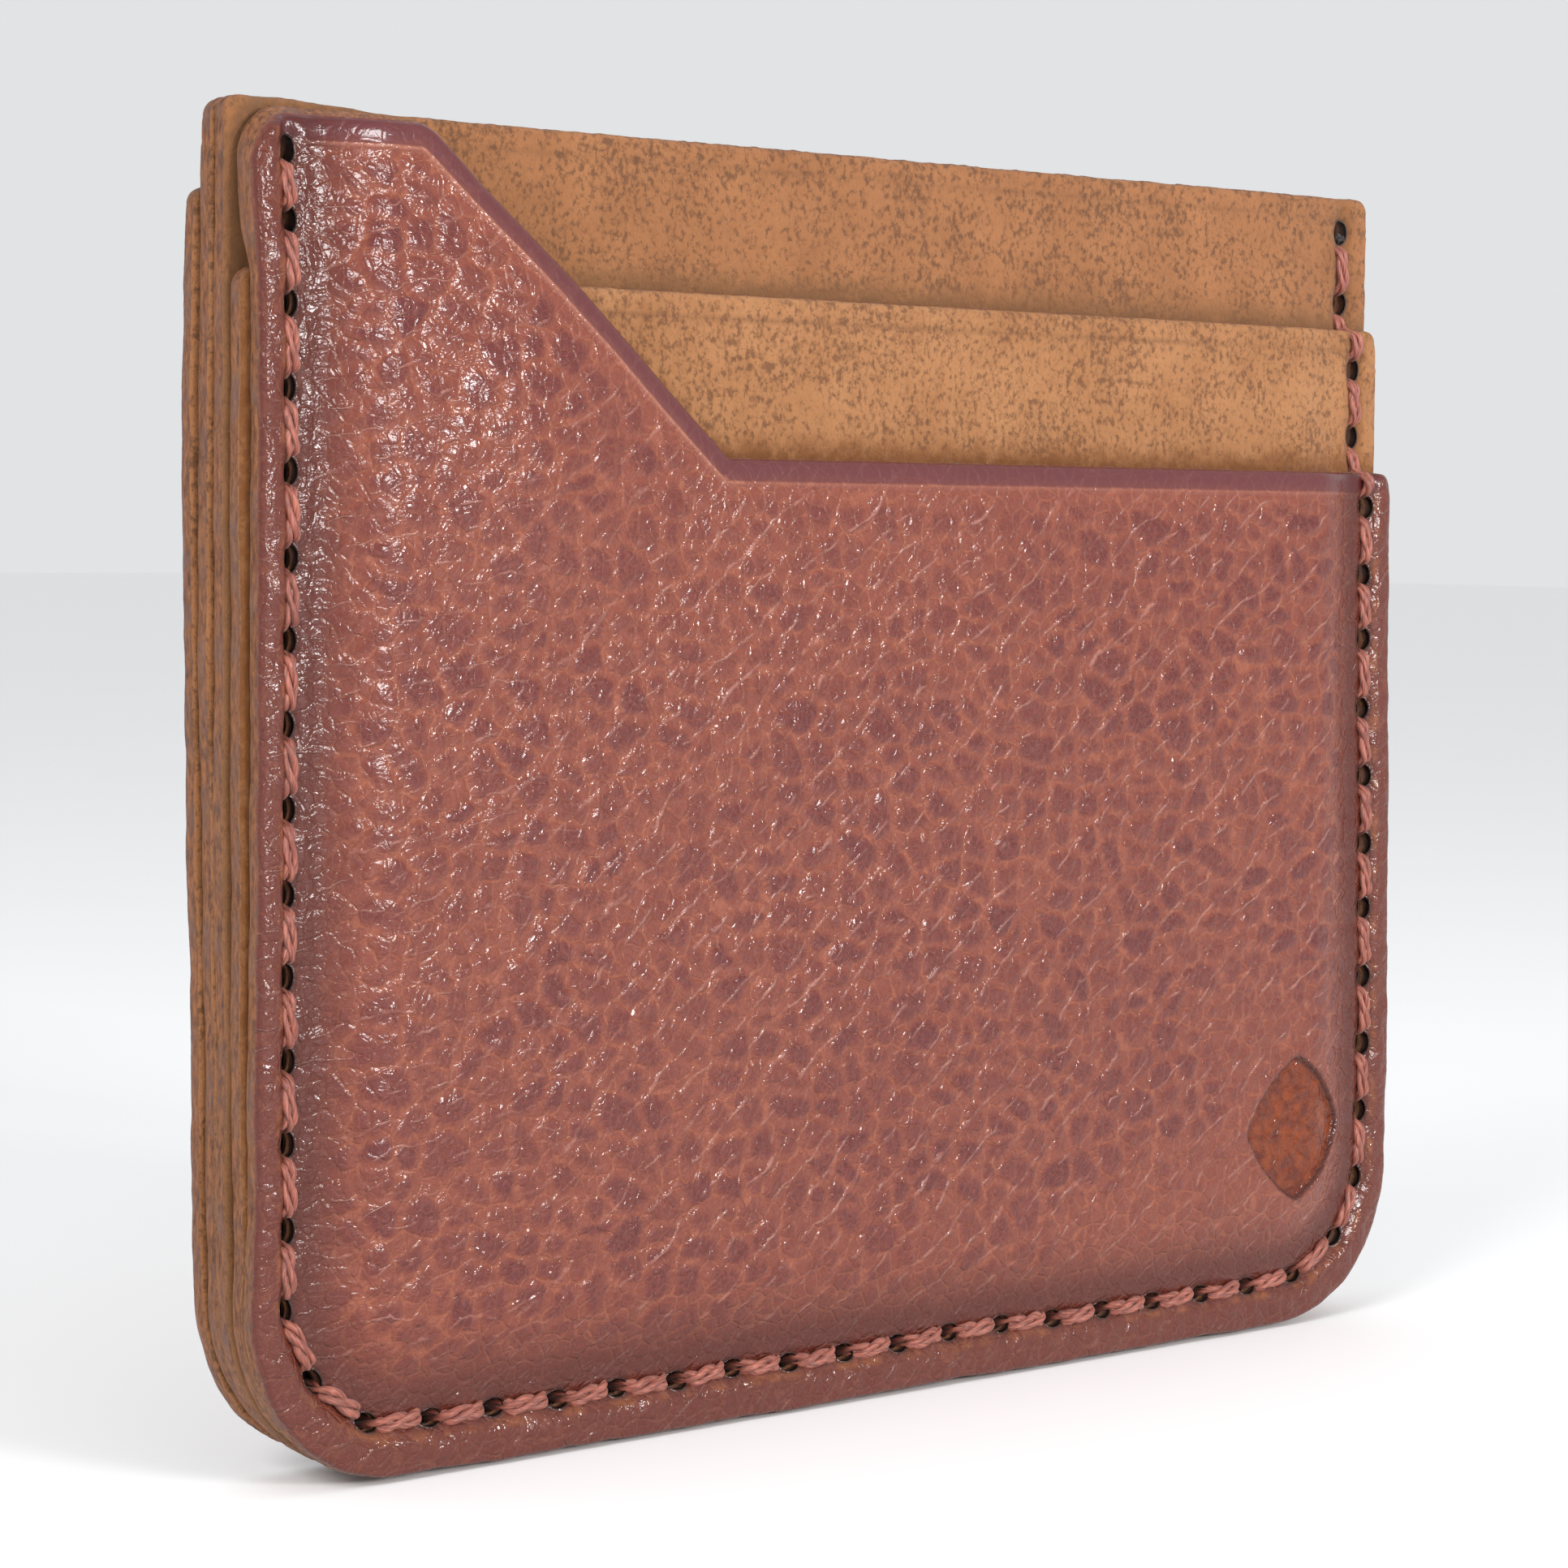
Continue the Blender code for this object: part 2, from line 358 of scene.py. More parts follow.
def puff(ply, x, z):
    """How far a ply bows out of the flat stack, towards the front (positive) or the back."""
    reach = (1.05, 0.42, 0.14, -0.14, -0.6)[ply]
    sides = smooth(1.6, 6.6, seam_distance(x, z))
    more_left = 1 + 0.3 * bell(x, -HALF_WIDTH, 40)
    slack = 0.22 * layers(x / 30, z / 30, 40 + ply, 2)
    bowed = reach * sides * more_left * (1 + slack)
    if ply == 0:
        bowed += 0.8 * sides * bell(np.hypot((x + 31) / 7, (z - 61) / 8), 0, 1)
        bowed -= 0.5 * smooth(PLY_TOP[1] - 1, PLY_TOP[1] + 6, z)
    return bowed


def rim_relief(x, z, seed):
    """The rim outboard of the seam, the pulled-in seam and the valley inside it."""
    u, s = rim_distance(x, z), seam_distance(x, z)
    wavy = layers(x / 5, z / 5, seed)
    dome = np.sin(math.pi * np.clip(u / np.maximum(u - s, 0.5), 0, 1)) ** 0.8
    rolled = 0.13 * (1 + 0.9 * wavy) * dome
    crinkled = 0.07 * layers(x / 0.9, z / 0.9, seed + 1, 2) * dome
    seam = -0.36 * bell(s, 0, 0.62)
    valley = -0.16 * bell(s, 1.7, 1.4)
    return rolled + crinkled + seam + valley


def wrinkles(x, z, seed):
    """Fine stretched creases: level beside the left seam, slanting up to the right elsewhere."""
    near_left = 1 - smooth(-44, -24, x + 2.5 * layers(x / 8, z / 8, seed))
    fine = []
    for degrees, stretch in ((6, 4.2), (36, 5.0)):
        c, s = math.cos(math.radians(degrees)), math.sin(math.radians(degrees))
        fine.append(1 - np.abs(layers((x * c + z * s) / stretch, (z * c - x * s) / 0.85, seed + 3)))
    return near_left * fine[0] + (1 - near_left) * fine[1]


def creased(ply, x):
    """How strongly the creased line along the mouth is pressed."""
    return np.where(x < -HALF_WIDTH + FRONT_CUT + 1, 1.0, 0.45) if ply == 0 else 0.5


def lozenge_at(ply, x, z):
    return mark_distance(x, z) if ply == 0 else np.full_like(x, 9.0)


def pebble_strength(ply, x, z, seed):
    """How deep the pebbles are: patchy, and fading near the bottom and the front's right side."""
    strength = 0.45 + 0.55 * smooth(-0.5, 0.3, layers(x / 26, z / 22, seed, 2))
    strength *= 0.35 + 0.65 * smooth(4, 20, z)
    if ply == 0:
        strength *= 1 - 0.55 * smooth(5, 45, x) * smooth(50, 15, z)
    return strength


# Painted shade for the stitch holes: near black in a hole, fading out to about two hole radii round
# it.
def hole_mask(sunk):
    return 0.75 * (1 - smooth(0.95, 1.3, sunk)) + 0.25 * (1 - smooth(1, 2.1, sunk))


def grain_face(ply, side, x, z, holes, mouth):
    """Relief and colour masks of a face that shows the pebbled grain."""
    seed = 100 + 10 * ply
    s, m = seam_distance(x, z), line_distance(x, z, mouth)
    sunk, lozenge = hole_distance(x, z, holes), lozenge_at(ply, x, z)
    open_field = smooth(1.7, 3.2, m) * smooth(1.0, 4.5, s)
    bend = 0.35 * layers(x / 6, z / 6, seed + 1)
    raised, spot = pebbles(x / 2.7 + bend, z / 2.05 - bend, seed + 2)
    small, _ = pebbles(x / 1.05 + 2 * bend, z / 0.95 + 2 * bend, seed + 12)
    strength = pebble_strength(ply, x, z, seed + 4)
    sharp = smooth(0.72, 0.98, wrinkles(x, z, seed + 5))
    pressed = creased(ply, x) * smooth(0.8, 1.8, rim_distance(x, z))
    relief = rim_relief(x, z, seed + 7)
    relief += open_field * (0.10 * strength * (raised - 0.6) + 0.045 * (small - 0.5))
    relief += 0.06 * (0.3 + 0.7 * open_field) * sharp
    relief += 0.05 * layers(x / 3.2, z / 3.2, seed + 8)
    relief += pressed * (0.08 * bell(m, CREASE, 0.1) - 0.09 * bell(m, CREASE + 0.28, 0.17))
    relief -= 0.14 * (1 - smooth(0, 0.9, m)) ** 2
    relief -= 0.2 * bell(sunk, 0.6, 1.1)
    relief -= 0.36 * (1 - smooth(0.955, 1.03, lozenge)) - 0.09 * bell(lozenge, 1.1, 0.07)
    worn = smooth(-0.2, 0.4, layers(x / 2.1, z / 2.1, seed + 9))
    masks = {
        "spot": open_field * np.clip(1.8 * strength, 0, 1) * spot,
        # seam: painted shade over the valley inside the seam and over the rim outboard of it
        "seam": np.maximum(bell(s, 1.3, 2.0), 0.75 * smooth(0.5, -0.5, s)),
        "band": (1 - smooth(1.25, 1.55, m)) * smooth(0.8, 1.8, rim_distance(x, z)),
        "crease": pressed * bell(m, CREASE, 0.11),
        "near_edge": bell(s, -0.85, 0.2) * worn,
        "hole": hole_mask(sunk),
        "mark": 1 - smooth(0.955, 1.03, lozenge),
        # Painted shade: a dark line round the stamped wall of the pressed mark
        "mark_edge_shade": bell(lozenge, 1.0, 0.04),
    }
    return relief, masks


def nap_face(ply, side, x, z, holes, mouth):
    """Relief and colour masks of a napped, tan face."""
    seed = 300 + 10 * ply
    s, m, free = seam_distance(x, z), line_distance(x, z, mouth), exposed(ply, side, x, z)
    pits = layers(x / 0.95, z / 1.15, seed + 1)
    relief = 0.5 * rim_relief(x, z, seed + 7) - 0.06 * smooth(0.25, 0.8, pits)
    relief += 0.04 * layers(x / 6, z / 6, seed + 3)
    relief += 0.03 * bell(m, CREASE + 0.35, 0.16) - 0.05 * bell(m, CREASE + 0.1, 0.12)
    relief -= 0.1 * (1 - smooth(0, 0.7, m)) ** 2
    sunk = hole_distance(x, z, holes)
    relief = (relief - 0.2 * bell(sunk, 0.6, 1.1)) * smooth(-1.5, 0, free)
    ragged = 1 + 0.5 * layers(x / 1.6, z / 1.6, seed + 5)
    masks = {
        "spot": smooth(0.2, 0.75, pits),
        "seam": bell(s, 0, 0.9),
        "crease": bell(m, CREASE + 0.1, 0.13) * (0.55 + 0.45 * noise(x / 9, z / 9, seed + 9)),
        # Darker band just above the edge of the ply in front
        "near_edge": 1 - smooth(0.2, 2.0 * ragged, free),
        "hole": hole_mask(sunk),
    }
    return relief, masks


def hidden_face(ply, side, x, z, holes, mouth):
    return np.zeros_like(x), {}


# ---------------- meshes


def lattice(spacing, low, high):
    """Points of an even triangular net."""
    rows = np.arange(low[1], high[1], spacing * math.sqrt(3) / 2)
    points = []
    for k, z in enumerate(rows):
        x = np.arange(low[0] + (k % 2) * spacing / 2, high[0], spacing)
        points.append(np.stack([x, np.full_like(x, z)], 1))
    return np.concatenate(points)


def clear_of(points, special, gap):
    """Which points lie at least about gap from every special point."""
    pitch = gap / 2.0
    low = np.array([-HALF_WIDTH - 3, -3.0])
    cells = np.zeros((int(120 / pitch), int(100 / pitch)), bool)
    i, j = ((special - low) / pitch).astype(int).T
    for a in (-2, -1, 0, 1, 2):
        for b in (-2, -1, 0, 1, 2):
            if abs(a) + abs(b) < 4:
                cells[i + a, j + b] = True
    i, j = ((points - low) / pitch).astype(int).T
    return ~cells[i, j]


def lattice_points(ply, holes, mouth, spacing, fine_from, others):
    """The even net of points, fine above a height and coarse below, clear of all the others."""
    corners = (-HALF_WIDTH, 0), (HALF_WIDTH, HEIGHT)
    net, loose = lattice(spacing, *corners), lattice(COARSE, *corners)
    net = np.concatenate([net[net[:, 1] > fine_from], loose[loose[:, 1] <= fine_from - 1]])
    x, z = net.T
    keep = (rim_distance(x, z) > CLEAR_RIM) & (z < mouth_height(ply, x))
    keep &= line_distance(x, z, mouth) > CLEAR_RIM
    keep &= hole_distance(x, z, holes) > HOLE_RINGS[-1] + 0.3
    net = net[keep]
    return net[clear_of(net, others, spacing * 0.62)]


def face_net(ply, outline, holes, mouth, spacing, fine_from, lines):
    """Points and triangles over one face. The first points are the outline and the hole edges."""
    out = normals_of(outline)
    rings = [outline - out * inset for inset in EDGE_RINGS]
    edges = [hole_ring(hole, 1) for hole in holes]
    around = [hole_ring(hole, scale) for hole in holes for scale in HOLE_RINGS]
    fixed = np.concatenate([outline, *edges])
    others = np.concatenate([fixed, *rings, *around, *lines])
    net = lattice_points(ply, holes, mouth, spacing, fine_from, others)
    points = np.concatenate([others, net])
    loose = len(points) - len(fixed)
    points[len(fixed) :] += np.random.RandomState(ply).uniform(-1e-4, 1e-4, (loose, 2))
    loops, start = [], 0
    for size in [len(outline)] + [HOLE_POINTS] * len(holes):
        loops += [(start + i, start + (i + 1) % size) for i in range(size)]
        start += size
    found = delaunay_2d_cdt([Vector(p) for p in points], loops, [], 0, 1e-6)
    origin = [o[0] if o else -1 for o in found[3]]
    triangles = np.array([[origin[i] for i in face] for face in found[2]])
    return points, inside_only(points, triangles, outline, len(holes))


def inside_only(points, triangles, outline, holes):
    """Leaves out the triangles outside the outline and those that close a hole."""
    owner = np.full(len(points), -1)
    owner[: len(outline)] = 0
    first = len(outline)
    for hole in range(holes):
        owner[first + hole * HOLE_POINTS : first + (hole + 1) * HOLE_POINTS] = hole + 1
    owners = owner[triangles]
    same = (owners[:, 0] == owners[:, 1]) & (owners[:, 1] == owners[:, 2]) & (owners[:, 0] >= 0)
    keep = ~(same & (owners[:, 0] > 0))
    doubtful = np.nonzero(same & (owners[:, 0] == 0))[0]
    middle = points[triangles[doubtful]].mean(1)
    x0, z0 = outline.T
    x1, z1 = np.roll(outline, -1, 0).T
    for index, (x, z) in zip(doubtful, middle):
        cross = (z0 > z) != (z1 > z)
        at = x0 + (z - z0) * (x1 - x0) / np.where(cross, z1 - z0, 1)
        keep[index] = (cross & (at > x)).sum() % 2 == 1
    triangles = triangles[keep]
    a, b, c = (points[triangles[:, k]] for k in range(3))
    turn = (b[:, 0] - a[:, 0]) * (c[:, 1] - a[:, 1]) - (b[:, 1] - a[:, 1]) * (c[:, 0] - a[:, 0])
    triangles[turn < 0] = triangles[turn < 0][:, ::-1]
    return triangles[np.abs(turn) > 1e-9]


def warped(ply, side, x, z):
    """The hand-cut shape: an uneven rim, a worn rear left edge, a fuller lower right side."""
    near = 1 - smooth(0.4, 2.8, rim_distance(x, z))
    slow = 0.16 * layers(x / 11, z / 11, 500 + ply, 2)
    quick = 0.05 * noise(x / 1.7, z / 1.7, 520 + ply)
    shift = (0.0, -0.1, 0.08, -0.05, 0.1)[ply]
    lean = (-0.35, 0.1, 0.1, 0.25, 0.25)[ply] * (x < 0) * smooth(8, 20, z)
    worn = (0, 0.25, 0.4, 0.65, 0.8)[ply] * (1 - smooth(15, 55, z)) * (1 - smooth(-30, 0, x))
    far = (shift + lean + slow + quick - worn) * near
    dx, dz = rim_direction(x, z)
    full = 0.75 * smooth(15, HALF_WIDTH, x) * (1 - smooth(22, 56, z))
    raised = (0.45 * (side > 0), 0.1, 0.5, 0.35, 0)[ply]
    lift = raised * (0.35 + 1.1 * (1 - smooth(-HALF_WIDTH, -HALF_WIDTH + 14, x))) * smooth(66, 79, z)
    return x + dx * far + full, z + dz * far + lift * (1 + 0.2 * noise(x / 3, z / 3, 530 + ply))


def rounding(inset, radius):
    """How far a rounded edge falls away at a distance in from it."""
    reach = np.clip(1 - inset / radius, 0, 1)
    return radius * (1 - np.sqrt(1 - reach**2))


def face_points(ply, net, outline, holes, side, radius, relief):
    """The face's points in space: side is -1 for the front face and 1 for the back."""
    x, z = net.T
    inset = np.full(len(net), 9.0)
    inset[: len(outline)] = 0
    first = len(outline) + len(holes) * HOLE_POINTS
    for ring in EDGE_RINGS:
        inset[first : first + len(outline)] = ring
        first += len(outline)
    swell = 0.07 * (1 - smooth(1.5, 3.5, rim_distance(x, z)))
    if ply == 0 and side > 0:
        above = smooth(PLY_TOP[1] - 0.5, PLY_TOP[1] + 2.5, z)
        swell += 0.75 * above * (1 - smooth(2, 7, rim_distance(x, z)))
    y = PLY_Y[ply] - puff(ply, x, z)
    y += side * (LEATHER / 2 + swell + relief - rounding(inset, radius))
    return np.stack([*warped(ply, side, x, z), y], 1)[:, (0, 2, 1)]


def edge_wall(ply, front, back, outline):
    """Rows of points across the raw cut edge, between the two faces' outlines."""
    out = normals_of(outline)
    length = np.concatenate([[0], np.cumsum(np.linalg.norm(np.diff(outline, axis=0), axis=1))])
    points = []
    for row in range(1, EDGE_ROWS):
        t = row / EDGE_ROWS
        fibres = 0.055 * layers(length / 2.6, np.full_like(length, t * 3.1 + ply * 7), 600 + ply)
        pulled = 0.06 * noise(length / 0.7, np.full_like(length, t * 4.0), 620 + ply)
        far = (0.04 + fibres + pulled) * math.sin(math.pi * t)
        bulge = np.stack([out[:, 0] * far, np.zeros_like(far), out[:, 1] * far], 1)
        points.append(front * (1 - t) + back * t + bulge)
    return points


def strip(first, second):
    """Quads between two closed rings of point numbers, as many in each."""
    a, b = np.array(first), np.array(second)
    return np.stack([a, b, np.roll(b, -1), np.roll(a, -1)], 1)


def make_mesh(name, points, quads, triangles, slots, materials, masks):
    """A smooth mesh from points in millimetres. slots gives each face's material, quads first."""
    mesh = bpy.data.meshes.new(name)
    counts = [4] * len(quads) + [3] * len(triangles)
    corners = np.concatenate([np.array(quads).reshape(-1), np.array(triangles).reshape(-1)])
    mesh.vertices.add(len(points))
    mesh.vertices.foreach_set("co", (np.array(points) * MM).astype(np.float32).reshape(-1))
    mesh.loops.add(len(corners))
    mesh.loops.foreach_set("vertex_index", corners.astype(np.int32))
    mesh.polygons.add(len(counts))
    starts = np.concatenate([[0], np.cumsum(counts)[:-1]])
    mesh.polygons.foreach_set("loop_start", starts.astype(np.int32))
    mesh.polygons.foreach_set("material_index", np.array(slots, np.int32))
    mesh.polygons.foreach_set("use_smooth", np.ones(len(counts), bool))
    mesh.update(calc_edges=True)
    mesh.validate()
    for key, values in masks.items():
        attribute = mesh.attributes.new(key, "FLOAT", "POINT")
        attribute.data.foreach_set("value", np.array(values, np.float32))
    for material in materials:
        mesh.materials.append(material)
    made = bpy.data.objects.new(name, mesh)
    bpy.context.scene.collection.objects.link(made)
    return made


def ply_sides(ply, outline, holes, front, back):
    """Points, triangles and masks of the two faces."""
    mouth = mouth_of(ply)
    points, nets, masks = [], [], []
    for side, (face, spacing, low, radius) in ((-1, front), (1, back)):
        lines = feature_lines(mouth) if ply == 0 and side < 0 else [np.empty((0, 2))]
        net, triangles = face_net(ply, outline, holes, mouth, spacing, low, lines)
        relief, mask = face(ply, side, *net.T, holes, mouth)
        points.append(face_points(ply, net, outline, holes, side, radius, relief))
        nets.append(triangles)
        masks.append(mask)
    return points, nets, masks


def ply_walls(size, holes, first_back, first_wall):
    """Quads of the cut edge and the hole walls, and the material slot of each."""
    ring = np.arange(size)
    between = [first_wall + k * size + ring for k in range(EDGE_ROWS - 1)]
    rings = [ring, *between, first_back + ring]
    quads = [strip(a, b) for a, b in zip(rings, rings[1:])]
    slots = [np.full(size, 0 if k == 0 else 1) for k in range(EDGE_ROWS)]
    for hole in range(holes):
        edge = size + hole * HOLE_POINTS + np.arange(HOLE_POINTS)
        quads.append(strip(edge, first_back + edge)[:, ::-1])
        slots.append(np.full(HOLE_POINTS, 1))
    return np.concatenate(quads), slots


def ply_masks(sides, masks, size):
    """Both faces' masks as one value for each point; across is 0 in front and 1 behind."""
    whole = {}
    for key in {**masks[0], **masks[1]}:
        values = [mask.get(key, np.zeros(len(side))) for mask, side in zip(masks, sides)]
        whole[key] = np.concatenate([*values, np.zeros(size * (EDGE_ROWS - 1))])
    rows = [np.full(size, row / EDGE_ROWS) for row in range(1, EDGE_ROWS)]
    whole["across"] = np.concatenate([np.zeros(len(sides[0])), np.ones(len(sides[1])), *rows])
    return whole


def make_ply(ply, name, front, back, materials):
    """One ply. front and back are (relief function, spacing, lowest fine height, edge radius)."""
    outline = outline_of(ply)
    holes = [hole for hole in SEAM if sewn(ply, hole[0])]
    sides, nets, masks = ply_sides(ply, outline, holes, front, back)
    size, first_back, first_wall = len(outline), len(sides[0]), len(sides[0]) + len(sides[1])
    wall = edge_wall(ply, sides[0][:size], sides[1][:size], outline)
    quads, slots = ply_walls(size, len(holes), first_back, first_wall)
    triangles = np.concatenate([nets[0], nets[1][:, ::-1] + first_back])
    slots = np.concatenate([*slots, np.zeros(len(nets[0])), np.full(len(nets[1]), 2)])
    points, whole = np.concatenate([*sides, *wall]), ply_masks(sides, masks, size)
    piece = make_mesh(name, points, quads, triangles, slots, materials, whole)
    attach(piece, "root")
    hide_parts(PLY_NODES[ply])
    return piece


def feature_lines(mouth):
    """Extra points along the creased line and the pressed lozenge, where the relief is narrow."""
    line = np.array(mouth)
    steps = np.linalg.norm(np.diff(line, axis=0), axis=1)
    at = np.concatenate([[0], np.cumsum(steps)])
    even = np.arange(0, at[-1], 0.25)
    dense = np.stack([np.interp(even, at, line[:, k]) for k in (0, 1)], 1)
    along = np.gradient(dense, axis=0)
    out = np.stack([along[:, 1], -along[:, 0]], 1) / np.linalg.norm(along, axis=1)[:, None]
    lines = []
    for inset in (CREASE - 0.16, CREASE, CREASE + 0.16, CREASE + 0.34):
        shifted_line = dense - out * inset
        x, z = shifted_line.T
        good = (np.abs(line_distance(x, z, mouth) - inset) < 0.03) & (rim_distance(x, z) > 1.2)
        good &= hole_distance(x, z, SEAM) > HOLE_RINGS[-1] + 0.3
        lines.append(shifted_line[good])
    return lines + [mark_ring(scale) for scale in (0.93, 0.96, 0.99, 1.02, 1.05, 1.1)]


# ---------------- glue and thread


def tube(rings):
    """Points and faces of a closed tube through rings of points."""
    rings = np.array(rings)
    count, size = rings.shape[:2]
    numbers = np.arange(count * size).reshape(count, size)
    quads = np.concatenate([strip(a, b) for a, b in zip(numbers, numbers[1:])])
    ends = [(numbers[0][0], numbers[0][i], numbers[0][i + 1]) for i in range(1, size - 1)]
    ends += [(numbers[-1][0], numbers[-1][i + 1], numbers[-1][i]) for i in range(1, size - 1)]
    return rings.reshape(-1, 3), quads, np.array(ends)


def surface_y(x, z, face):
    """Y of the outermost leather at a place near the seam. Face is -1 in front, 1 behind."""
    order = (0, 1, 2) if face < 0 else (4, 3)
    ply = next(p for p in order if z < ply_top(p, x) - 0.15 or p == order[-1])
    at = np.array([x]), np.array([z])
    # The rim as grain_face and nap_face shape it
    scale, seed = (1.0, 107 + 10 * ply) if ply in (0, 4) else (0.5, 307 + 10 * ply)
    relief = scale * rim_relief(*at, seed)
    return float((PLY_Y[ply] - puff(ply, *at) + face * (LEATHER / 2 + relief))[0])


RUN_STEPS = 24
RUN_INSET = 0.3  # a run leaves its hole this far from the hole's middle
DIVE = 2.2  # depth at which a run starts and ends inside a hole
THREAD_LIFT = 0.16  # height of the thread's middle above the leather
THREAD_SLANT = 0.17
STRANDS = 3
STRAND_RADIUS = 0.24
STRAND_SIDES = 8
TWIST_RADIUS = 0.32, 0.12  # across the thread, and up from the leather
LAY = 5.2  # length of one whole turn


def risen(t):
    """How far a run has come out of its hole: 0 inside, 1 on the surface."""
    return float(smooth(0, 0.2, min(t, 1 - t)))


def run_points(face, start, end):
    """One stitch as it lies on a face: out of one hole, along the leather and into the next."""
    (start, start_along), (end, end_along) = start, end
    points = []
    for k in range(RUN_STEPS + 1):
        t = k / RUN_STEPS
        along = start_along * (1 - t) + end_along * t
        inset = RUN_INSET * (1 - 2 * t)
        side = np.array([along[1], -along[0]]) * face * THREAD_SLANT * (2 * t - 1)
        x, z = start * (1 - t) + end * t + along * inset + side
        rise = risen(t)
        arch = 0.1 * math.sin(math.pi * t)
        y = surface_y(x, z, face) + face * ((THREAD_LIFT + arch) * rise - DIVE * (1 - rise))
        x, z = warped(0, face, np.array([x]), np.array([z]))
        points.append((x[0], y, z[0]))
    return points


def thread_path():
    """The saddle stitch as one line: both halves start in the first hole, one on each face."""
    halves = []
    for face in (1, -1):
        points = []
        for start, end in zip(SEAM, SEAM[1:]):
            points += run_points(face, start, end)
            face = -face
        halves.append(points)
    return np.array(halves[0][::-1] + halves[1])


def smoothed(path, rounds):
    for _ in range(rounds):
        path[1:-1] = path[1:-1] * 0.5 + (path[:-2] + path[2:]) * 0.25
    return path


def base_ring(inset, left_top, right_top):
    """Points down the left side, round the bottom and up the right, a given distance inboard."""
    side, radius, corner = HALF_WIDTH - inset, BOTTOM_RADIUS - inset, HALF_WIDTH - BOTTOM_RADIUS
    left = [(-side, z) for z in np.linspace(left_top, BOTTOM_RADIUS, 90)[:-1]]
    bottom = [(x, inset) for x in np.linspace(-corner, corner, 110)[1:-1]]
    right = [(side, z) for z in np.linspace(BOTTOM_RADIUS, right_top, 90)[1:]]
    return np.array([
        *left,
        *arc((-corner, BOTTOM_RADIUS), radius, 180, 270, radius / 16),
        *bottom,
        *arc((corner, BOTTOM_RADIUS), radius, 270, 360, radius / 16),
        *right,
    ])


GLUE_SECTION = (0.45, 0.5), (0.45, 0.0), (1.0, -0.1), (1.55, 0.0), (1.55, 0.5), (1.0, 0.6)


def make_glue(index, material):
    """A U of glue squeezed between two plies, with a ragged inner edge."""
    left, right = (min(ply_top(index, x), ply_top(index + 1, x)) - 1.0 for x in (-1, 1))
    size = len(base_ring(0.5, left, right))
    where = np.arange(size) * 0.8
    rows = []
    for inset, depth in GLUE_SECTION:
        ring = base_ring(inset, left, right)
        ragged = 0.18 * layers(where / 2.2, np.full(size, inset * 3.0), 700 + index)
        ring = ring - np.stack(rim_direction(*ring.T), 1) * ragged[:, None] * (0.4 + inset / 2)
        x, z = warped(index, 1, *ring.T)
        front = PLY_Y[index] - puff(index, *ring.T) + LEATHER / 2
        back = PLY_Y[index + 1] - puff(index + 1, *ring.T) - LEATHER / 2
        rows.append(np.stack([x, front + (back - front) * (0.2 + depth), z], 1))
    points, quads, ends = tube(np.stack(rows, 1))
    slots = np.zeros(len(quads) + len(ends))
    glue = make_mesh(f"glue_{index + 1}", points, quads, ends, slots, [material], {})
    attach(glue, "root")
    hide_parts(f"glue_line_{index + 1}")


def thread_frame(path):
    """Two directions square to the path at each of its points, without sudden turns."""
    along = np.gradient(path, axis=0)
    along /= np.linalg.norm(along, axis=1)[:, None]
    up = np.array([0.0, 1.0, 0.0]) - along * along[:, 1:2]
    size = np.linalg.norm(up, axis=1)
    for i in range(1, len(up)):
        if size[i] < 0.35:
            up[i] = up[i - 1] - along[i] * (up[i - 1] @ along[i])
            size[i] = np.linalg.norm(up[i])
    up /= size[:, None]
    across = np.cross(along, up)
    for i in range(1, len(across)):
        if across[i] @ across[i - 1] < 0:
            across[i] *= -1
            up[i] *= -1
    return across, up


def strand_rings(strand, path, length, across, up, angles):
    """Rings of one strand as it winds about the thread's middle."""
    phase = 2 * math.pi * (length / LAY + strand / STRANDS)
    centre = path + across * (TWIST_RADIUS[0] * np.cos(phase))[:, None]
    centre = centre + up * (TWIST_RADIUS[1] * np.sin(phase))[:, None]
    radius = STRAND_RADIUS * (1 + 0.16 * np.sin(length * 2.3 + 2 * strand))
    c, s = np.cos(angles)[None, :, None], np.sin(angles)[None, :, None]
    spread = across[:, None] * c + up[:, None] * 0.85 * s
    return centre[:, None] + radius[:, None, None] * spread


def make_thread(material):
    path = smoothed(thread_path(), 2)
    across, up = thread_frame(path)
    length = np.concatenate([[0], np.cumsum(np.linalg.norm(np.diff(path, axis=0), axis=1))])
    angles = np.arange(STRAND_SIDES) * 2 * math.pi / STRAND_SIDES
    points, quads, ends, turned = [], [], [], []
    for strand in range(STRANDS):
        p, q, e = tube(strand_rings(strand, path, length, across, up, angles))
        first = strand * len(p)
        points.append(p)
        quads.append(q + first)
        ends.append(e + first)
        turned.append(np.tile(angles, len(path)) + 9.0 * strand)
    points, quads, ends = (np.concatenate(part) for part in (points, quads, ends))
    # Painted shade: how far inside its hole each ring of the thread lies
    inside = [1 - risen(k / RUN_STEPS) for k in range(RUN_STEPS + 1)] * (2 * HOLES - 2)
    masks = {
        "round": np.concatenate(turned),
        "length": np.tile(np.repeat(length, STRAND_SIDES), STRANDS),
        "inside": np.tile(np.repeat(inside, STRAND_SIDES), STRANDS),
    }
    slots = np.zeros(len(quads) + len(ends))
    thread = make_mesh("saddle_stitch", points, quads, ends, slots, [material], masks)
    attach(thread, "root")
    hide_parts("stitch_thread")
    return thread


# ---------------- materials


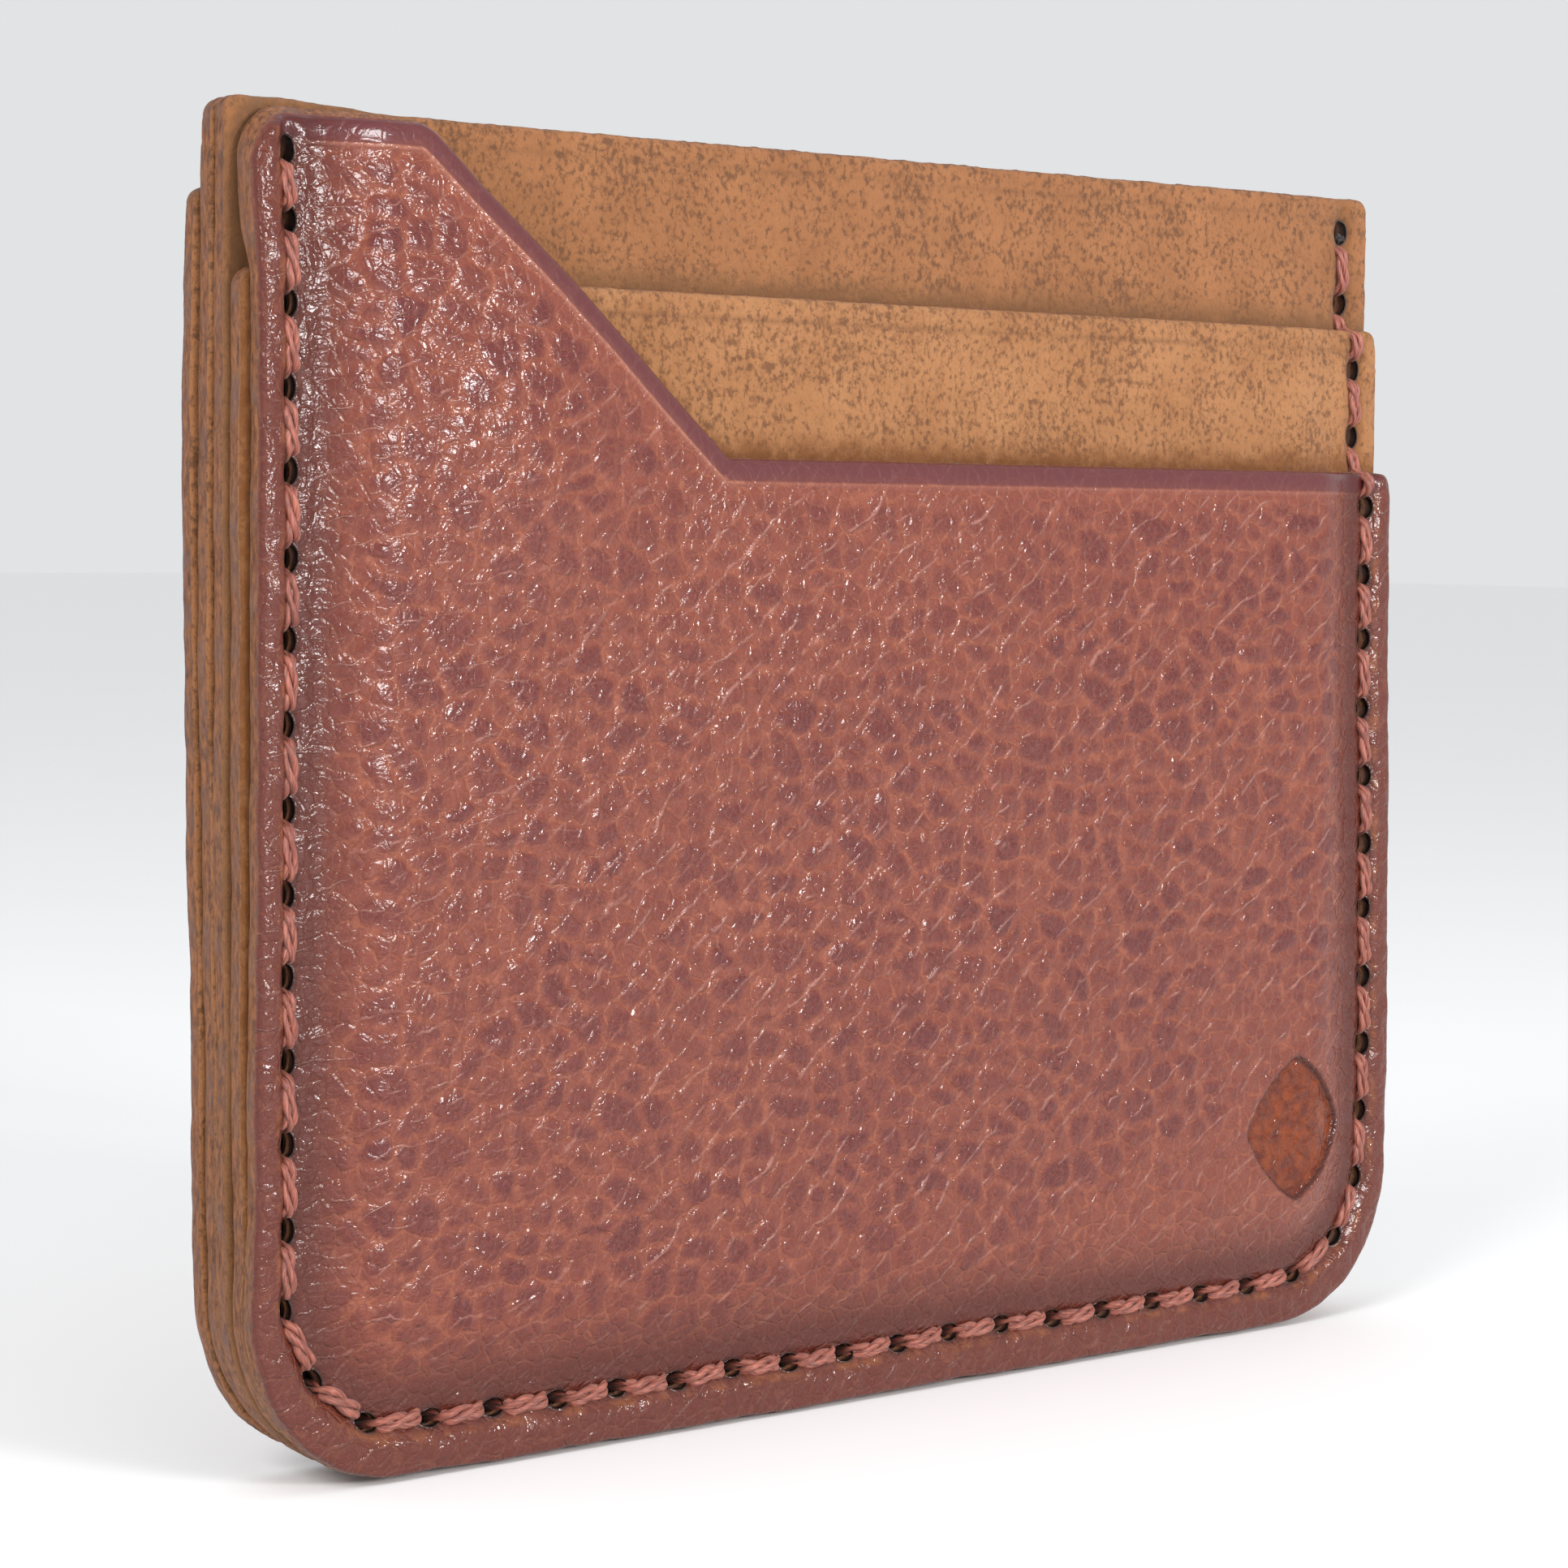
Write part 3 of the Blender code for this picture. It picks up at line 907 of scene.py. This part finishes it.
class Shading:
    """A material's nodes. Most methods add a node or a few and return their output."""

    def __init__(self, name, roughness, **shader):
        self.material = bpy.data.materials.new(name)
        self.material.use_nodes = True
        self.tree = self.material.node_tree
        self.shader = self.tree.nodes["Principled BSDF"]
        self.shader.inputs["Roughness"].default_value = roughness
        for key, value in shader.items():
            self.shader.inputs[key.replace("_", " ")].default_value = value
        self.place = self.add("TexCoord").outputs["Object"]

    def add(self, kind, **settings):
        node = self.tree.nodes.new("ShaderNode" + kind)
        for key, value in settings.items():
            setattr(node, key, value)
        return node

    def feed(self, socket, value):
        if isinstance(value, bpy.types.NodeSocket):
            self.tree.links.new(value, socket)
        else:
            socket.default_value = value

    def turned(self, angle, stretch):
        """The place, turned in the plane of the plies and stretched."""
        node = self.add("Mapping", vector_type="TEXTURE")
        self.feed(node.inputs["Vector"], self.place)
        node.inputs["Rotation"].default_value = (0, math.radians(angle), 0)
        node.inputs["Scale"].default_value = stretch
        return node.outputs[0]

    def noise(self, size, detail=4, rough=0.6, place=None):
        """Noise with features of about size, in millimetres."""
        node = self.add("TexNoise")
        self.feed(node.inputs["Vector"], place or self.place)
        node.inputs["Scale"].default_value = 1 / (size * MM)
        node.inputs["Detail"].default_value = detail
        node.inputs["Roughness"].default_value = rough
        return node.outputs["Fac"]

    def bent(self, size, amount):
        """The place, pushed about by up to amount, in millimetres."""
        drift = self.add("TexNoise")
        self.feed(drift.inputs["Vector"], self.place)
        drift.inputs["Scale"].default_value = 1 / (size * MM)
        drift.inputs["Detail"].default_value = 2
        push = self.add("VectorMath", operation="MULTIPLY_ADD")
        self.feed(push.inputs[0], drift.outputs["Color"])
        push.inputs[1].default_value = (2 * amount * MM,) * 3
        self.feed(push.inputs[2], self.place)
        return push.outputs[0]

    def blend(self, factor, a, b):
        """A value that goes from a to b."""
        first = self.math("MULTIPLY", a, self.math("SUBTRACT", 1.0, factor))
        return self.math("ADD", first, self.math("MULTIPLY", b, factor))

    def cells(self, size, place=None):
        """Distance from the edge of a cell, in a net of cells of about size, in millimetres."""
        node = self.add("TexVoronoi", feature="DISTANCE_TO_EDGE")
        self.feed(node.inputs["Vector"], place or self.place)
        node.inputs["Scale"].default_value = 1 / (size * MM)
        return node.outputs["Distance"]

    def bands(self, place, period, wander):
        """Thin parallel lines along X, period millimetres apart, that wander."""
        node = self.add("TexWave", wave_type="BANDS", bands_direction="Z")
        self.feed(node.inputs["Vector"], place)
        node.inputs["Scale"].default_value = math.pi / (10 * period * MM)
        node.inputs["Distortion"].default_value = wander
        node.inputs["Detail"].default_value = 3
        node.inputs["Detail Scale"].default_value = 1.2
        return self.range(node.outputs["Fac"], 0.955, 1.0)

    def coordinate(self, axis):
        node = self.add("SeparateXYZ")
        self.feed(node.inputs[0], self.place)
        return node.outputs[axis]

    def mask(self, name):
        return self.add("Attribute", attribute_name=name).outputs["Fac"]

    def math(self, operation, a, b=0.0):
        node = self.add("Math", operation=operation)
        self.feed(node.inputs[0], a)
        self.feed(node.inputs[1], b)
        return node.outputs[0]

    def range(self, value, low, high, to_low=0.0, to_high=1.0):
        node = self.add("MapRange")
        for socket, given in zip(node.inputs, (value, low, high, to_low, to_high)):
            self.feed(socket, given)
        return node.outputs[0]

    def mix(self, factor, a, b):
        node = self.add("Mix", data_type="RGBA")
        self.feed(node.inputs[0], factor)
        for socket, colour in ((node.inputs[6], a), (node.inputs[7], b)):
            self.feed(socket, (*colour, 1) if isinstance(colour, tuple) else colour)
        return node.outputs[2]

    def masked(self, mask, weight, colour, over):
        """The colour, with another one over it where a mask says so."""
        return self.mix(self.math("MULTIPLY", self.mask(mask), weight), colour, over)

    def bump(self, height, distance):
        """The normal of a surface raised by height times distance, in millimetres."""
        node = self.add("Bump")
        self.feed(node.inputs["Height"], height)
        node.inputs["Distance"].default_value = distance * MM
        return node.outputs[0]

    def finish(self, colour, roughness=None, normal=None, coat=None):
        self.feed(self.shader.inputs["Base Color"], colour)
        if roughness is not None:
            self.feed(self.shader.inputs["Roughness"], roughness)
        if normal is not None:
            self.feed(self.shader.inputs["Normal"], normal)
            self.feed(self.shader.inputs["Coat Normal"], coat or normal)
        return self.material


def grain_patterns(m):
    """The fine patterns of the grain: streaks, which the colour also uses as painted glints,
    crinkles, and two nets of creases.
    """
    to_left = m.range(m.coordinate("X"), -0.020, -0.042)
    slanting, level = m.turned(-38, (3.6, 1, 1)), m.turned(-8, (3.6, 1, 1))
    rising = m.bands(m.turned(-38, (1, 1, 1)), 2.1, 4.5)
    lines = m.blend(to_left, rising, m.bands(m.turned(-10, (1, 1, 1)), 1.6, 6))
    dashes = m.range(m.noise(1.4, 3, 0.6), 0.46, 0.64)
    crinkle = m.blend(to_left, m.noise(0.7, 4, 0.6, slanting), m.noise(0.7, 4, 0.6, level))
    middling = m.range(m.cells(1.25, place=m.bent(1.4, 0.35)), 0.0, 0.12)
    crackle = m.range(m.cells(0.55, place=m.bent(0.6, 0.15)), 0.0, 0.13)
    return m.math("MULTIPLY", lines, dashes), crinkle, middling, crackle


def grain_colour(m, streaks, middling, crackle):
    """The open grain, then what the masks put over it: rims, painted shade along the seam, the mark
    with a line of painted shade round its edge, and painted shade in and around the holes.
    """
    speckle, net = m.noise(0.6, 4, 0.65), m.range(middling, 1, 0, 0, 0.75)
    broad = m.range(m.noise(16, 3, 0.55), 0.35, 0.65)
    colour = m.mix(broad, (0.162, 0.037, 0.022), (0.182, 0.045, 0.026))
    grimy = m.range(m.noise(0.3, 4, 0.7), 0.5, 0.7, 0, 0.35)
    colour = m.mix(grimy, colour, (0.070, 0.011, 0.010))
    net = m.math("MULTIPLY", net, m.range(speckle, 0.35, 0.6, 0.3, 1))
    colour = m.mix(net, colour, (0.29, 0.088, 0.044))
    spots = m.range(m.mask("spot"), 0.1, 1, 0, 0.8)
    spots = m.math("MULTIPLY", spots, m.range(speckle, 0.25, 0.5, 0.5, 1))
    colour = m.mix(spots, colour, (0.072, 0.009, 0.013))
    colour = m.mix(m.range(crackle, 1, 0, 0, 0.3), colour, (0.24, 0.062, 0.040))
    # Pale streaks: partly light grooves in the grain, partly painted glints off its crinkles
    colour = m.mix(m.math("MULTIPLY", streaks, 0.55), colour, (0.40, 0.18, 0.14))
    colour = m.masked("band", 0.85, colour, (0.082, 0.017, 0.022))
    colour = m.masked("crease", 0.6, colour, (0.40, 0.16, 0.10))
    # Painted shade over the seam's valley and the rim outboard of it
    colour = m.masked("seam", 0.78, colour, (0.052, 0.007, 0.005))
    colour = m.masked("near_edge", 0.5, colour, (0.30, 0.10, 0.03))
    floor = m.mix(m.range(m.noise(1.1), 0.35, 0.65), (0.09, 0.009, 0), (0.19, 0.030, 0))
    colour = m.mix(m.mask("mark"), colour, floor)
    # Painted shade round the stamped wall of the mark
    colour = m.masked("mark_edge_shade", 0.9, colour, (0.04, 0.006, 0.003))
    # Painted shade in and around the stitch holes
    return m.mix(m.mask("hole"), colour, (0.010, 0.003, 0.002))


def grain_leather():
    """Waxed pull-up leather: dark pebbles in a lighter net of creases, painted shade darkening the
    seam's valley and rim, the stitch holes and the mark's edge, and pale streaks that are partly
    painted glints.
    """
    m = Shading("grain_leather", 0.4, Specular_IOR_Level=0.12, Coat_Weight=0.5, Coat_Roughness=0.12)
    streaks, crinkle, middling, crackle = grain_patterns(m)
    colour = grain_colour(m, streaks, middling, crackle)
    height = m.math("ADD", m.math("MULTIPLY", crinkle, 0.6), m.math("MULTIPLY", streaks, 0.3))
    height = m.math("ADD", height, m.math("MULTIPLY", crackle, 0.10))
    height = m.math("ADD", height, m.math("MULTIPLY", middling, 0.25))
    height = m.math("MULTIPLY", height, m.range(m.mask("band"), 0, 1, 1, 0.3))
    rough = m.range(m.noise(0.9, 4, 0.6), 0.3, 0.75, 0.32, 0.55)
    return m.finish(colour, rough, m.bump(height, 0.32), m.bump(height, 0.09))


def nap_leather(name, light, dark, deep, edge_and_seam_tone):
    """Tan nubuck: a short nap with dark pits and speckles."""
    m = Shading(name, 0.88, Specular_IOR_Level=0.25, Sheen_Weight=0.1)
    speckle = m.noise(0.4, 5, 0.7, place=m.turned(0, (1.1, 1, 1.3)))
    clusters = m.noise(4.5, 3, 0.6)
    fine = m.noise(0.2, 5, 0.75)
    colour = m.mix(m.range(m.noise(7, 4, 0.6), 0.35, 0.68), light, dark)
    colour = m.mix(m.range(fine, 0.42, 0.72, 0, 0.7), colour, dark)
    often = m.math("ADD", speckle, m.range(clusters, 0.3, 0.7, -0.05, 0.06))
    colour = m.mix(m.range(often, 0.49, 0.62, 0, 0.75), colour, deep)
    colour = m.masked("spot", 0.12, colour, deep)
    colour = m.masked("crease", 0.7, colour, deep)
    # Darker band just above the edge of the ply in front
    edge = m.math("MULTIPLY", m.mask("near_edge"), m.range(m.noise(1.2, 4, 0.65), 0.3, 0.6, 0.35, 1.0))
    colour = m.mix(edge, colour, edge_and_seam_tone)
    colour = m.masked("seam", 0.5, colour, edge_and_seam_tone)
    # Painted shade in and around the stitch holes
    colour = m.mix(m.mask("hole"), colour, (0.02, 0.009, 0.005))
    height = m.math("ADD", m.math("MULTIPLY", often, -0.7), m.math("MULTIPLY", fine, 0.9))
    return m.finish(colour, None, m.bump(height, 0.3))


def raw_edge():
    """The cut edge of a ply: orange-brown fibres with a grey line along the grain side, and painted
    shade on the walls of the stitch holes.
    """
    m = Shading("raw_edge", 0.6, Specular_IOR_Level=0.4)
    fibres = m.noise(0.28, 6, 0.75, place=m.turned(0, (1, 1, 3.5)))
    patches = m.noise(2.4, 4, 0.65)
    colour = m.mix(m.range(fibres, 0.38, 0.62), (0.12, 0.042, 0.022), (0.40, 0.155, 0.058))
    colour = m.mix(m.range(patches, 0.47, 0.68, 0, 0.75), colour, (0.20, 0.115, 0.095))
    colour = m.mix(m.range(m.noise(0.9, 5, 0.7), 0.58, 0.75, 0, 0.7), colour, (0.36, 0.17, 0.06))
    skin = m.range(m.math("ABSOLUTE", m.math("SUBTRACT", m.mask("across"), 0.1)), 0.0, 0.18, 0.9, 0)
    colour = m.mix(skin, colour, (0.10, 0.065, 0.070))
    # Painted shade on the walls of the stitch holes
    colour = m.mix(m.mask("hole"), colour, (0.012, 0.005, 0.003))
    rough = m.range(patches, 0.3, 0.7, 0.42, 0.72)
    return m.finish(colour, rough, m.bump(fibres, 0.3))


def waxed_thread():
    """Salmon thread, darker where its strands meet, with painted shade where it runs inside the
    holes.
    """
    m = Shading("waxed_thread", 0.45, Specular_IOR_Level=0.5, Sheen_Weight=0.15)
    lie, length = m.add("CombineXYZ"), m.mask("length")
    m.feed(lie.inputs[0], m.math("MULTIPLY", length, 0.55))
    m.feed(lie.inputs[1], m.math("ADD", m.mask("round"), m.math("MULTIPLY", length, 1.4)))
    fibres = m.noise(1 / (1.6 * MM), 3, 0.5, lie.outputs[0])
    soiled = m.noise(1.5, 3, 0.6)
    colour = m.mix(m.range(fibres, 0.35, 0.65), (0.13, 0.026, 0.016), (0.38, 0.112, 0.070))
    colour = m.mix(m.range(soiled, 0.45, 0.7, 0, 0.6), colour, (0.15, 0.032, 0.020))
    # Painted shade where the thread runs inside a hole
    colour = m.mix(m.range(m.mask("inside"), 0.25, 0.75), colour, (0.012, 0.004, 0.003))
    return m.finish(colour, None, m.bump(fibres, 0.09))


def dried_glue():
    m = Shading("dried_glue", 0.5)
    lumps = m.noise(1.2, 4, 0.6)
    colour = m.mix(lumps, (0.06, 0.025, 0.012), (0.16, 0.08, 0.03))
    return m.finish(colour, m.range(lumps, 0.3, 0.7, 0.4, 0.7), m.bump(lumps, 0.1))


def pale_floor():
    m = Shading("pale_floor", 0.8, Specular_IOR_Level=0.2)
    return m.finish(m.mix(m.noise(40, 3, 0.5), (0.94, 0.94, 0.94), (0.96, 0.96, 0.96)))


# ---------------- stage


def make_floor():
    bpy.ops.mesh.primitive_plane_add(size=FLOOR_SIZE, location=(0, 0, -FLOOR_DROP * MM))
    floor = bpy.context.object
    floor.name = "floor"
    floor.data.materials.append(pale_floor())


def make_camera():
    """The camera stands to the left and a little below the top, looking slightly down."""
    yaw, pitch, roll = (math.radians(a) for a in CAMERA_ANGLES)
    level = Vector((math.sin(yaw), math.cos(yaw), 0)) * math.cos(pitch)
    forward = level - Vector((0, 0, math.sin(pitch)))
    right = Vector((math.cos(yaw), -math.sin(yaw), 0))
    up = right.cross(forward)
    right, up = (
        right * math.cos(roll) + up * math.sin(roll),
        up * math.cos(roll) - right * math.sin(roll),
    )
    camera = bpy.data.objects.new("camera", bpy.data.cameras.new("camera"))
    camera.data.lens = LENS
    camera.data.sensor_width = 36
    camera.data.clip_start = 0.01
    placed = Matrix((right, up, -forward)).transposed().to_4x4()
    placed.translation = CAMERA_PLACE
    camera.matrix_world = placed
    bpy.context.scene.collection.objects.link(camera)
    bpy.context.scene.camera = camera


def area_light(name, place, target, size, power):
    lamp = bpy.data.objects.new(name, bpy.data.lights.new(name, "AREA"))
    lamp.data.size = size
    lamp.data.energy = power
    lamp.location = place
    lamp.rotation_euler = (Vector(target) - Vector(place)).to_track_quat("-Z", "Y").to_euler()
    bpy.context.scene.collection.objects.link(lamp)


def make_light():
    world = bpy.data.worlds.new("studio")
    bpy.context.scene.world = world
    world.use_nodes = True
    sky = world.node_tree.nodes["Background"]
    sky.inputs["Color"].default_value = (*SKY, 1)
    sky.inputs["Strength"].default_value = SKY_STRENGTH
    for light in LIGHTS:
        area_light(*light)
    bpy.context.scene.view_settings.view_transform = "Standard"


TAN_NAP = (0.50, 0.225, 0.086), (0.39, 0.157, 0.049), (0.13, 0.044, 0.012), (0.22, 0.068, 0.008)
BROWN_NAP = (0.44, 0.178, 0.062), (0.33, 0.124, 0.038), (0.11, 0.040, 0.012), (0.24, 0.10, 0.032)


def make_object():
    """All ten pieces. A face is its relief, point spacing, lowest fine height and edge radius."""
    grain, edge = grain_leather(), raw_edge()
    tan, brown = nap_leather("tan_nap", *TAN_NAP), nap_leather("brown_nap", *BROWN_NAP)
    looks = {"grain_leather": grain, "tan_leather": tan, "suede_leather": brown}
    covered = hidden_face, COARSE, HEIGHT + 9, 0.15
    plies = (
        ("front_leather", "grain_leather", (grain_face, 0.31, 0, 0.26), covered),
        ("middle_leather", "tan_leather", (nap_face, 0.36, FRONT_MOUTH - 2, 0.22), covered),
        ("inner_front_leather", "suede_leather", (nap_face, 0.36, PLY_TOP[1] - 12, 0.22), covered),
        ("inner_rear_leather", "suede_leather", covered, (nap_face, 0.36, PLY_TOP[4] - 2, 0.22)),
        ("back_leather", "grain_leather", covered, (grain_face, 0.33, 0, 0.36)),
    )
    for ply, (name, slot, front, back) in enumerate(plies):
        sides = [looks[slot] if face[0] is not hidden_face else brown for face in (front, back)]
        make_ply(ply, name, front, back, [sides[0], edge, sides[1]])
    make_thread(waxed_thread())
    glue = dried_glue()
    for index in range(len(PLY_NODES) - 1):
        make_glue(index, glue)


make_object()
make_floor()
make_camera()
make_light()
